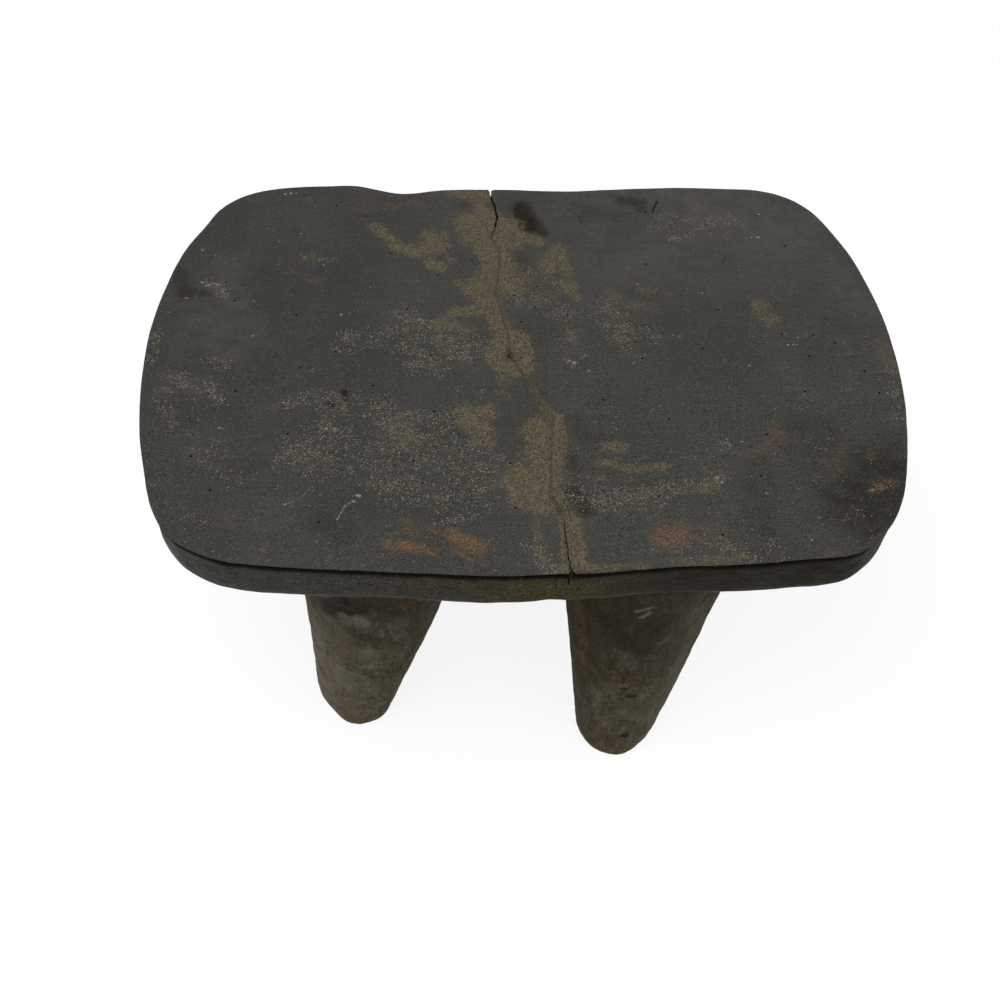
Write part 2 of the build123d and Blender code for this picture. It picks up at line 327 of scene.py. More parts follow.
def make_object(name, verts, faces, fields, sharp_angle=35):
    """Mesh object with point attributes, smooth except over edges sharper than sharp_angle."""
    mesh = bpy.data.meshes.new(name)
    mesh.from_pydata([tuple(v) for v in verts], [], faces)
    for field, values in fields.items():
        attribute = mesh.attributes.new(field, "FLOAT", "POINT")
        attribute.data.foreach_set("value", np.asarray(values, dtype=np.float32))
    bm = bmesh.new()
    bm.from_mesh(mesh)
    unused = [vert for vert in bm.verts if not vert.link_faces]
    bmesh.ops.delete(bm, geom=unused, context="VERTS")
    bmesh.ops.recalc_face_normals(bm, faces=bm.faces)
    for face in bm.faces:
        face.smooth = True
    for edge in bm.edges:
        edge.smooth = len(edge.link_faces) != 2 or edge.calc_face_angle() < math.radians(sharp_angle)
    bm.to_mesh(mesh)
    bm.free()
    piece = bpy.data.objects.new(name, mesh)
    bpy.context.collection.objects.link(piece)
    return piece


def triangulate(boundary, inner):
    """Triangles that fill a plan boundary through inner points, as indices into both lists."""
    points = [Vector(p) for p in boundary] + [Vector(p) for p in inner]
    loop = list(range(len(boundary)))
    result = delaunay_2d_cdt(points, [], [loop], 1, 1e-7)
    triangles, origin = result[2], result[3]
    return [[origin[i][0] for i in triangle] for triangle in triangles]


def inside(points, boundary):
    """Which plan points lie inside a closed boundary (even-odd rule)."""
    found = np.zeros(len(points), dtype=bool)
    x, y = points[:, 0], points[:, 1]
    following = np.roll(boundary, -1, axis=0)
    for (x0, y0), (x1, y1) in zip(boundary, following):
        if y0 == y1:
            continue
        crosses = (y0 > y) != (y1 > y)
        found ^= crosses & (x < (x1 - x0) * (y - y0) / (y1 - y0) + x0)
    return found


def far_from(points, line, reach):
    """Which points are further than reach from every point of a line."""
    clear = np.ones(len(points), dtype=bool)
    for spot in line:
        clear &= np.sum((points - spot) ** 2, axis=1) > reach ** 2
    return clear


def resample(line, step):
    """Points at even steps along an open line."""
    line = np.asarray(line, dtype=float)
    lengths = np.concatenate([[0], np.cumsum(np.linalg.norm(np.diff(line, axis=0), axis=1))])
    count = max(2, int(round(lengths[-1] / step)) + 1)
    even = np.linspace(0, lengths[-1], count)
    return np.stack([np.interp(even, lengths, line[:, axis]) for axis in range(line.shape[1])], axis=1)


def grid_points(boundary, step, margin, outline):
    """Jittered rows of points inside a boundary, clear of the outline by margin, and of the
    rest of the boundary by half of it."""
    rng = np.random.default_rng(7)
    lowest, highest = boundary.min(axis=0), boundary.max(axis=0)
    xs = np.arange(lowest[0], highest[0], step)
    ys = np.arange(lowest[1], highest[1], step)
    points = np.stack(np.meshgrid(xs, ys), axis=-1).reshape(-1, 2)
    points += rng.uniform(-0.25, 0.25, points.shape) * step
    points = points[inside(points, boundary)]
    points = points[far_from(points, boundary, margin / 2)]
    if outline is not None:
        points = points[far_from(points, outline, margin)]
    return points


# ---------------------------------------------------------------- seat
def inward_normals(outline):
    along = np.roll(outline, -1, axis=0) - np.roll(outline, 1, axis=0)
    along /= np.linalg.norm(along, axis=1)[:, None]
    return np.stack([-along[:, 1], along[:, 0]], axis=1)


def seat_outline():
    """Closed outline of the whole seat in plan, counter-clockwise from above, and its inward
    normals: the edge of the solids, with the carver's bows and a slight waver."""
    plan = []
    for node in ("seat_left", "seat_right"):
        plan += [Vector(v.co[:2]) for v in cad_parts[node].data.vertices]
    hull = np.array([plan[i] for i in convex_hull_2d(plan)])
    if np.sum(hull[:, 0] * np.roll(hull[:, 1], -1) - np.roll(hull[:, 0], -1) * hull[:, 1]) < 0:
        hull = hull[::-1]
    outline = resample(np.vstack([hull, hull[:1]]), OUTLINE_STEP)[:-1]
    for _ in range(30):
        outline = (outline + 0.5 * np.roll(outline, 1, axis=0) + 0.5 * np.roll(outline, -1, axis=0)) / 2
    normals = inward_normals(outline)
    for index, (x, y) in enumerate(outline):
        out = 0.35 * MM * wander(x, y, 0, 22 * MM, 11) + 0.12 * MM * wander(x, y, 0, 5 * MM, 12)
        for bow_x, bow_y, reach, amount in OUTLINE_BOWS:
            away = math.hypot(x / MM - bow_x, y / MM - bow_y)
            out += amount * MM * math.exp(-away ** 2 / (2 * reach ** 2))
        outline[index] -= normals[index] * out
    outline[:, 0] = np.clip(outline[:, 0], low[0], high[0])
    return outline, inward_normals(outline)


def crack_line():
    """The split in fine steps: x, y and width, with its torn, stepping course."""
    line = resample(np.array(CRACK) * MM, CRACK_STEP)
    for index, (x, y, _) in enumerate(line):
        open_share = 0.35 + 0.65 * float(y > FILLER_REAR or y < FILLER_FRONT)
        tear = 0.6 * MM * wander(x, y, 0, 5 * MM, 21) + 0.5 * MM * wander(x, y, 0, 1.8 * MM, 22)
        line[index, 0] += open_share * tear
        line[index, 2] *= 1 + 0.6 * wander(x, y, 0, 3 * MM, 23)
    return line


def half_contour(side, outline, line):
    """Plan contour of one half, counter-clockwise: its run of the outline, then the wall of the
    split. Returns the contour, the share of the split's width to close at each point, and the
    indices of its run of the outline."""
    wall = line[:, :2].copy()
    wall[:, 0] += side * line[:, 2] / 2
    wall_x = np.interp(outline[:, 1], wall[::-1, 1], wall[::-1, 0])
    on_side = side * (outline[:, 0] - wall_x) > OUTLINE_STEP / 2
    # start the run just past the split, and go round counter-clockwise
    first = next(i for i in range(len(outline)) if on_side[i] and not on_side[i - 1])
    run = [(first + k) % len(outline) for k in range(int(on_side.sum()))]
    kept = np.abs(wall[:, 1]) < HALF_DEPTH - 0.8 * MM
    wall, closing = wall[kept], -side * line[kept, 2] / 2
    # the left half ends its run at the front, the right half at the rear
    if side < 0:
        wall, closing = wall[::-1], closing[::-1]
    edge_closing = np.zeros(len(run))
    edge_closing[0] = np.interp(outline[run[0], 1], line[::-1, 1], line[::-1, 0]) - outline[run[0], 0]
    edge_closing[-1] = np.interp(outline[run[-1], 1], line[::-1, 1], line[::-1, 0]) - outline[run[-1], 0]
    return np.vstack([outline[run], wall]), np.concatenate([edge_closing, closing]), run


def edge_push(points, outline, normals):
    """How the side profile moves each contour point: fully at the outline, less inside it."""
    push = np.zeros_like(points)
    for index, point in enumerate(points):
        distance = np.linalg.norm(outline - point, axis=1)
        nearest = int(distance.argmin())
        push[index] = normals[nearest] * max(0.0, 1 - distance[nearest] / (24 * MM)) ** 2
    return push


def notch_share(y):
    """How deeply the side is cut back under the arris, and how strong the painted shade in the notch is:
    fully in front, only a little at the rear.
    """
    return 0.3 + 0.7 * float(blend_step(30 * MM, -55 * MM, y))


def side_shift(x, y, drop, inset, on_edge, push, closing):
    """How far the side or the torn wall stands from the contour at a depth (in mm) below the top."""
    cut_back = 1 + 0.3 * wander(x, y, 0, 60 * MM, 31) if drop < 5 else 1.0
    if drop < 5:
        inset = max(inset * notch_share(y), min(inset, 0.45))
    dents = 0.45 * MM * (wander(x, y, 1.5 * drop * MM, 12 * MM, 32) + 0.4) * min(drop / 5, 1)
    shift = push * (inset * cut_back * MM + dents)
    depth = drop * MM
    lean = CRACK_LEAN * depth / THICKNESS * max(0.0, 1 - abs(x - CRACK[-1][0] * MM) / CRACK_LEAN_REACH)
    shift[0] += lean * float(blend_step(-95 * MM, -125 * MM, y))
    shift[0] += 0.97 * closing * min(1.0, depth / CRACK_CLOSES)
    if not on_edge and drop > 1:
        shift[0] += 0.25 * MM * wander(x, y, depth, 3 * MM, 33)
    return shift


def notch_shade(drop):
    """How much painted shade the side gets at a drop in mm: black in the notch under the arris, then a
    painted shade that dies out.
    """
    return max(float(blend_step(5.2, 3.8, drop)), 0.45 * float(blend_step(10.0, 4.0, drop)))


def beetle_holes():
    """Places of the beetle holes: a fixed scatter over the top, clear of its rim."""
    rng = np.random.default_rng(HOLE_SEED)
    reach = np.array((HALF_LENGTH - HOLE_MARGIN, HALF_DEPTH - HOLE_MARGIN))
    holes = []
    while len(holes) < HOLE_COUNT:
        share = rng.uniform(-1, 1, 2)
        spot = share * reach
        apart = all(np.linalg.norm(spot - other) > HOLE_SPACING for other in holes)
        if apart and np.sum(share ** 4) < 1:
            holes.append(spot)
    return holes


def detail_points():
    """Fine marks that need points of their own: plan point, sink and the strength of each mark."""
    points, marks = [], []
    for x, y in beetle_holes():
        points.append((x, y))
        marks.append((HOLE_DEPTH, 0, 0, 1))
        for share, sink, dark in ((0.75, HOLE_DEPTH * 0.8, 1.0), (1.0, 0.0, 0.6), (1.9, 0.0, 0.0)):
            for turn in range(8):
                angle = math.pi * turn / 4 + x / MM
                reach = HOLE_RADIUS * share
                points.append((x + reach * math.cos(angle), y + reach * math.sin(angle)))
                marks.append((sink, 0, 0, dark))
    for x, y, radius in FLECKS:
        points.append((x * MM, y * MM))
        marks.append((0, 1, 0, 0))
        for share, pale in ((0.25, 1.0), (1.0, 0.0)):
            for turn in range(7):
                angle = 2 * math.pi * turn / 7 + y
                reach = radius * MM * share * (1 + 0.8 * wander(x * MM, y * MM, turn * MM, 1.5 * MM, 71))
                points.append((x * MM + 1.3 * reach * math.cos(angle), y * MM + reach * math.sin(angle)))
                marks.append((0, pale, 0, 0))
    for strokes, sink, column in ((SCORES, 0.0, 1), (CHECKS, GROOVE_DEPTH, 2)):
        for line, half_width, strength in strokes:
            fine = resample(np.array(line) * MM, 0.8 * MM)
            along = np.gradient(fine, axis=0)
            along /= np.linalg.norm(along, axis=1)[:, None]
            across = np.stack([-along[:, 1], along[:, 0]], axis=1)
            for (x, y), (across_x, across_y) in zip(fine, across):
                waver = 0.5 * MM * wander(x, y, 0, 3 * MM, 72)
                for share in (-2.0, 0.0, 2.0):
                    reach = share * half_width * MM + waver
                    points.append((x + across_x * reach, y + across_y * reach))
                    mark = [0.0, 0.0, 0.0, 0.0]
                    if share == 0.0:
                        mark[0], mark[column] = sink * strength, strength
                    marks.append(tuple(mark))
    return np.array(points), np.array(marks)


def top_sheet(contour, wall, outline, normals, run):
    """Inner points of the top of one half: its worn arris, its fine marks and an even spread."""
    rings = [(outline[i] + normals[i] * inset * MM, (drop * MM, 0, 0, 0))
             for inset, drop in ARRIS for i in run]
    arris = np.array([point for point, _ in rings])
    arris_marks = np.array([mark for _, mark in rings])
    kept = inside(arris, contour) & far_from(arris, wall, 0.3 * MM)
    arris, arris_marks = arris[kept], arris_marks[kept]
    fine, fine_marks = detail_points()
    kept = inside(fine, contour) & far_from(fine, wall, 0.4 * MM) & far_from(fine, outline, 2.2 * MM)
    fine, fine_marks = fine[kept], fine_marks[kept]
    spread = grid_points(contour, TOP_STEP, 2.3 * MM, outline)
    spread = spread[far_from(spread, fine, 0.75 * MM)]
    points = np.vstack([arris, fine, spread])
    marks = np.vstack([arris_marks, fine_marks, np.zeros((len(spread), 4))])
    return points, marks


def seat_half(name, side, outline, normals, line):
    contour, closing, run = half_contour(side, outline, line)
    push = edge_push(contour, outline, normals)
    count, edge_count = len(contour), len(run)
    verts, marks, recess_shade, lower, rim = [], [], [], [], []

    # rings of the side and of the torn wall, from the arris down
    for drop, inset in SIDE_PROFILE:
        for index, (x, y) in enumerate(contour):
            on_edge = index < edge_count
            px, py = np.array([x, y]) + side_shift(x, y, drop, inset, on_edge, push[index], closing[index])
            chip = max(0.0, wander(x, y, 0, 6 * MM, 34) - 0.45) * 1.2 * MM if drop < 1 and on_edge else 0.0
            uneven = (sag(px, py) + 0.35 * MM * wander(x, y, 0, 25 * MM, 35)) * max(0.0, drop - 12) / 13
            verts.append((px, py, top_height(px, py) - drop * MM - chip - uneven))
            # painted shade along the side just under the arris, weaker towards the rear
            recess_shade.append(float(on_edge) * float(drop > 1.0) * notch_shade(drop) * notch_share(y))
            lower.append(float(on_edge) * float(blend_step(20.0, 24.0, drop)))
            rim.append(float(on_edge) * float(drop < 1.2))
            marks.append((0, 0, 0, 0))
    rings = len(SIDE_PROFILE)
    faces = []
    for ring in range(rings - 1):
        for index in range(count):
            after = (index + 1) % count
            faces.append([ring * count + index, (ring + 1) * count + index,
                          (ring + 1) * count + after, ring * count + after])

    inner, inner_marks = top_sheet(contour, contour[edge_count:], outline, normals, run)
    start = len(verts)
    for (x, y), mark in zip(inner, inner_marks):
        verts.append((x, y, top_height(x, y) - mark[0]))
    for triangle in triangulate(contour, inner):
        faces.append([i if i < count else start + i - count for i in triangle])
    marks += [tuple(mark) for mark in inner_marks]
    recess_shade += [0.0] * len(inner)
    lower += [0.0] * len(inner)
    rim += list(1 - blend_step(0.0, 2.0 * MM, edge_distance(inner, outline)))

    # underside, hollowed a little by the adze
    last = (rings - 1) * count
    bottom = np.array([v[:2] for v in verts[last:last + count]])
    under = grid_points(bottom, UNDERSIDE_STEP, 1.5 * MM, None)
    start = len(verts)
    for x, y in under:
        hollow = 0.4 * MM + 0.5 * MM * wander(x, y, 0, 16 * MM, 41) + 0.2 * MM * wander(x, y, 0, 6 * MM, 42)
        verts.append((x, y, top_arc(x) - THICKNESS - sag(x, y) + hollow))
    for triangle in triangulate(bottom, under):
        faces.append([last + i if i < count else start + i - count for i in reversed(triangle)])
    marks += [(0, 0, 0, 0)] * len(under)
    recess_shade += [0.0] * len(under)
    lower += [0.15] * len(under)
    rim += [0.0] * len(under)

    plan = np.array([v[:2] for v in verts])
    on_top = np.array([1.0 if v[2] > top_arc(v[0]) - 1.1 * MM else 0.0 for v in verts])
    on_top[:start] = np.maximum(on_top[:start], np.arange(start) >= last + count)
    marks = np.array(marks)
    front = blend_step(-95 * MM, -120 * MM, plan[:, 1])
    dusty = 0.85 * front * np.exp(-((plan[:, 0] - 8 * MM) / (26 * MM)) ** 2)
    fields = {
        "dirt": np.where(on_top > 0, stroke_field(plan, DIRT), dusty),
        "orange": on_top * stroke_field(plan, ORANGE),
        "pale": on_top * stroke_field(plan, PALE),
        "dark": on_top * stroke_field(plan, DARK),
        "speckle": on_top * stroke_field(plan, SPECKLE),
        "fleck": marks[:, 1],
        "groove": marks[:, 2],
        "hole": marks[:, 3],
        "recess_shade": recess_shade,
        "lower": lower,
        "rim": rim,
        "top": on_top,
        "olive": blend_step(-150 * MM, 0.0, plan[:, 0]),
        "darker_rightwards": blend_step(10 * MM, 70 * MM, plan[:, 0]),
        "coarse": blend_step(70 * MM, -80 * MM, plan[:, 1]),
    }
    piece = make_object(name, verts, faces, fields)
    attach(piece, "root")
    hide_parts(name)
    return piece


def edge_distance(points, outline):
    nearest = np.full(len(points), np.inf)
    for spot in outline:
        nearest = np.minimum(nearest, np.sum((points - spot) ** 2, axis=1))
    return np.sqrt(nearest)


# ---------------------------------------------------------------- filler in the split
def filler(line):
    """Crumbly strip down the middle stretch of the split, sunk a little below the top."""
    stretch = line[(line[:, 1] < FILLER_REAR) & (line[:, 1] > FILLER_FRONT)]
    depth_steps = [0.0, 0.3, 0.6, 1.0]
    verts = []
    for x, y, width in stretch:
        sunk = (0.22 + 0.3 * wander(x, y, 0, 4 * MM, 51)) * MM
        top = top_height(x, y) - max(sunk, 0.05 * MM)
        bottom = top_arc(x) - THICKNESS + 0.6 * MM
        reach = width / 2 + 0.15 * MM
        column = [(x, y, top + 0.04 * MM)]
        for share in depth_steps:
            height = top + (bottom - top) * share
            column = [(x - reach, y, height)] + column + [(x + reach, y, height)]
        verts += column + [(x, y, bottom)]
    width_count = 2 * len(depth_steps) + 2
    faces = []
    for row in range(len(stretch) - 1):
        for k in range(width_count):
            after = (k + 1) % width_count
            faces.append([row * width_count + k, row * width_count + after,
                          (row + 1) * width_count + after, (row + 1) * width_count + k])
    faces.append(list(range(width_count)))
    faces.append([(len(stretch) - 1) * width_count + k for k in reversed(range(width_count))])
    piece = make_object("crack_filler", verts, faces, {})
    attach(piece, "root")
    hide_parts("crack_filler")
    return piece


# ---------------------------------------------------------------- legs
LEG_TURNS = 168
LEG_RINGS = 150
SOLE_RINGS = 8
FOOT_ROUNDING = 3 * MM
FLARE, FLARE_HEIGHT = 1.6 * MM, 8 * MM
ROOT_OVERLAP = 2.0 * MM      # how far a leg runs up into the slab


def ring_of(node, lowest, highest):
    """Centre and radius of the circle of a node's vertices between two heights."""
    points = [v.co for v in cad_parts[node].data.vertices if lowest <= v.co.z <= highest]
    xs, ys = [p.x for p in points], [p.y for p in points]
    centre = Vector(((min(xs) + max(xs)) / 2, (min(ys) + max(ys)) / 2))
    radius = (max(xs) - min(xs) + max(ys) - min(ys)) / 4
    return centre, radius, sum(p.z for p in points) / len(points)


def leg_relief(cos, sin, z, seed):
    """Adze work on a leg: broad flats, shallow scoops and small dents."""
    x, y = cos * 30 * MM, sin * 30 * MM
    flats = 0.8 * MM * wander(x, y, 0.35 * z, 20 * MM, seed)
    scoops = 0.5 * MM * wander(x, y, z, 12 * MM, seed + 5)
    dents = 0.22 * MM * wander(x, y, z, 4 * MM, seed + 9)
    return flats + scoops + dents - 0.3 * MM


def foot_chips(name, angle, z):
    gone = 0.0
    for middle, spread, height, depth in FOOT_CHIPS[name]:
        off = (angle - middle + 180) % 360 - 180
        gone += depth * MM * math.exp(-(off / spread) ** 2) * max(0.0, 1 - z / (height * MM))
    return gone


def leg(name, seed):
    """Adzed leg: the solid's taper and lean, with facets, dents, a worn sole and a flare where
    it grows out of the underside."""
    foot, foot_radius, foot_z = ring_of(name, 2 * MM, 4 * MM)
    root, root_radius, root_z = ring_of(name, low[2] - 1 * MM, high[2])
    verts, rim, unrolled = [], [], []
    for ring in range(LEG_RINGS + 1):
        share = ring / LEG_RINGS
        for turn in range(LEG_TURNS):
            angle = 2 * math.pi * turn / LEG_TURNS - math.pi
            cos, sin = math.cos(angle), math.sin(angle)
            top = top_arc(root.x + root_radius * cos) - THICKNESS + ROOT_OVERLAP
            z = top * share
            along = (z - foot_z) / (root_z - foot_z)
            centre = foot.lerp(root, along)
            radius = foot_radius + (root_radius - foot_radius) * along
            radius += leg_relief(cos, sin, z, seed)
            flare = max(0.0, 1 - (top - z) / FLARE_HEIGHT)
            radius += FLARE * flare ** 2
            if z < FOOT_ROUNDING:
                sink = 1 - z / FOOT_ROUNDING
                radius -= FOOT_ROUNDING * (1 - math.sqrt(max(0.0, 1 - sink ** 2)))
            radius -= foot_chips(name, math.degrees(angle), z)
            verts.append((centre.x + radius * cos, centre.y + radius * sin, z))
            rim.append(max(0.0, 1 - z / (15 * MM)))
            unrolled.append((math.degrees(angle), z / MM))
    faces = []
    for ring in range(LEG_RINGS):
        for turn in range(LEG_TURNS):
            after = (turn + 1) % LEG_TURNS
            faces.append([ring * LEG_TURNS + turn, ring * LEG_TURNS + after,
                          (ring + 1) * LEG_TURNS + after, (ring + 1) * LEG_TURNS + turn])
    # sole: rings that close on the middle of the foot
    sole = foot.lerp(root, -foot_z / (root_z - foot_z))
    previous = 0
    for step in range(1, SOLE_RINGS):
        start = len(verts)
        for turn in range(LEG_TURNS):
            x, y, _ = verts[turn]
            share = step / SOLE_RINGS
            verts.append((x + (sole.x - x) * share, y + (sole.y - y) * share, 0.0))
            faces.append([previous + (turn + 1) % LEG_TURNS, previous + turn,
                          start + turn, start + (turn + 1) % LEG_TURNS])
        previous = start
    verts.append((sole.x, sole.y, 0.0))
    for turn in range(LEG_TURNS):
        faces.append([previous + (turn + 1) % LEG_TURNS, previous + turn, len(verts) - 1])
    faces.append([LEG_RINGS * LEG_TURNS + turn for turn in range(LEG_TURNS)])
    extra = len(verts) - len(unrolled)
    rim += [1.0] * extra
    unrolled += [(0.0, -99.0)] * extra
    spots = np.array(unrolled)
    outward = 1 if root.x > 0 else -1
    fields = {
        "rim": rim,
        "pale": leg_field(spots, LEG_PALE.get(name, [])),
        "dark": leg_field(spots, LEG_DARK.get(name, [])),
        "rust": leg_field(spots, LEG_RUST.get(name, [])),
        # painted shade under the seat: darker towards the top of each leg, plus the leg's own tone
        "seat_shade_and_tone": [LEG_TONE[name] + 0.95 * float(blend_step(20, 145, z)) for _, z in unrolled],
        # painted light: lighter on the outer side of each leg, where more light reaches it
        "outer_side_light": [max(0.0, outward * math.cos(math.radians(angle))) for angle, _ in unrolled],
    }
    piece = make_object(name, verts, faces, fields, sharp_angle=50)
    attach(piece, "root")
    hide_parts(name)
    return piece


LEG_MID_RADIUS = 34          # mm


def leg_field(spots, strokes):
    """Strength of strokes given by angle and height, on a leg unrolled at its mid radius."""
    flat = spots * np.array([math.radians(LEG_MID_RADIUS), 1.0]) * MM
    turned = []
    for start, end, reach, strength in strokes:
        a = (math.radians(start[0]) * LEG_MID_RADIUS, start[1])
        b = (math.radians(end[0]) * LEG_MID_RADIUS, end[1])
        turned.append((a, b, reach, strength))
    return stroke_field(flat, turned)


# ---------------------------------------------------------------- materials
class Graph:
    """A material under construction: adds shader nodes, sets their inputs and links them."""

    def __init__(self, name):
        self.material = bpy.data.materials.new(name)
        self.material.use_nodes = True
        self.tree = self.material.node_tree
        self.shader = self.tree.nodes["Principled BSDF"]
        self.place = self.node("ShaderNodeTexCoord").outputs["Object"]

    def node(self, kind, inputs=None, **settings):
        node = self.tree.nodes.new(kind)
        for key, setting in settings.items():
            setattr(node, key, setting)
        for key, source in (inputs or {}).items():
            self.feed(node.inputs[key], source)
        return node

    def feed(self, socket, source):
        if isinstance(source, bpy.types.NodeSocket):
            self.tree.links.new(source, socket)
        else:
            socket.default_value = source

    def math(self, operation, a, b=0.0):
        return self.node("ShaderNodeMath", {0: a, 1: b}, operation=operation).outputs[0]

    def times(self, a, b):
        return self.math("MULTIPLY", a, b)

    def plus(self, a, b):
        return self.math("ADD", a, b)

    def field(self, name):
        return self.node("ShaderNodeAttribute", attribute_name=name).outputs["Fac"]

    def stretch(self, sizes, offset, turn):
        """Object coordinates divided by a grain size in mm along each axis, turned in plan."""
        scale = tuple(1 / (size * MM) for size in sizes)
        place = self.place
        if turn:
            settings = {"Vector": place, "Rotation": (0, 0, math.radians(turn))}
            place = self.node("ShaderNodeMapping", settings).outputs[0]
        settings = {"Vector": place, "Location": offset, "Scale": scale}
        return self.node("ShaderNodeMapping", settings).outputs[0]

    def noise(self, size, detail=4.0, rough=0.55, offset=(0, 0, 0), twist=0.0, turn=0):
        """Noise about 0.5; size is one number, or one for each axis, in mm."""
        sizes = (size, size, size) if isinstance(size, (int, float)) else size
        settings = {"Vector": self.stretch(sizes, offset, turn), "Scale": 1.0, "Detail": detail,
                    "Roughness": rough, "Distortion": twist}
        return self.node("ShaderNodeTexNoise", settings).outputs["Fac"]

    def grains(self, sizes, offset, share, spread=0.30, turn=0):
        """Small separate grains in a share of the cells of a scattered lattice, in mm."""
        settings = {"Vector": self.stretch(sizes, offset, turn), "Scale": 1.0}
        cells = self.node("ShaderNodeTexVoronoi", settings)
        chance = self.node("ShaderNodeSeparateColor", {"Color": cells.outputs["Color"]})
        chosen = self.step(self.math("SUBTRACT", share, chance.outputs[0]), 0.0, 0.03)
        spot = self.step(cells.outputs["Distance"], spread + 0.14, spread - 0.08)
        strength = self.step(chance.outputs[1], 0.0, 1.0, 0.35, 1.0)
        return self.times(self.times(chosen, spot), strength)

    def swing(self, value, amount):
        """Noise about 0.5 turned into a swing about 0 of the given size."""
        return self.times(self.math("SUBTRACT", value, 0.5), amount)

    def frayed(self, name, value, amount):
        """A field that noise makes stronger here and weaker there, only where it is not 0."""
        field = self.field(name)
        return self.plus(field, self.times(field, self.swing(value, amount)))

    def step(self, value, low_edge, high_edge, low_value=0.0, high_value=1.0):
        settings = {"Value": value, "From Min": low_edge, "From Max": high_edge,
                    "To Min": low_value, "To Max": high_value}
        return self.node("ShaderNodeMapRange", settings, interpolation_type="SMOOTHSTEP").outputs["Result"]

    def mix(self, factor, a, b, blend="MIX"):
        node = self.node("ShaderNodeMix", data_type="RGBA", blend_type=blend)
        self.feed(node.inputs[0], factor)
        for socket, source in ((node.inputs[6], a), (node.inputs[7], b)):
            self.feed(socket, source if isinstance(source, bpy.types.NodeSocket) else (*source, 1.0))
        return node.outputs[2]

    def fade(self, factor, a, b):
        """Number that goes from a to b with factor."""
        node = self.node("ShaderNodeMix", data_type="FLOAT")
        for socket, source in ((node.inputs[0], factor), (node.inputs[2], a), (node.inputs[3], b)):
            self.feed(socket, source)
        return node.outputs[0]

    def bump(self, height, distance, strength=1.0, base=None):
        settings = {"Height": height, "Distance": distance, "Strength": strength}
        if base is not None:
            settings["Normal"] = base
        return self.node("ShaderNodeBump", settings).outputs["Normal"]


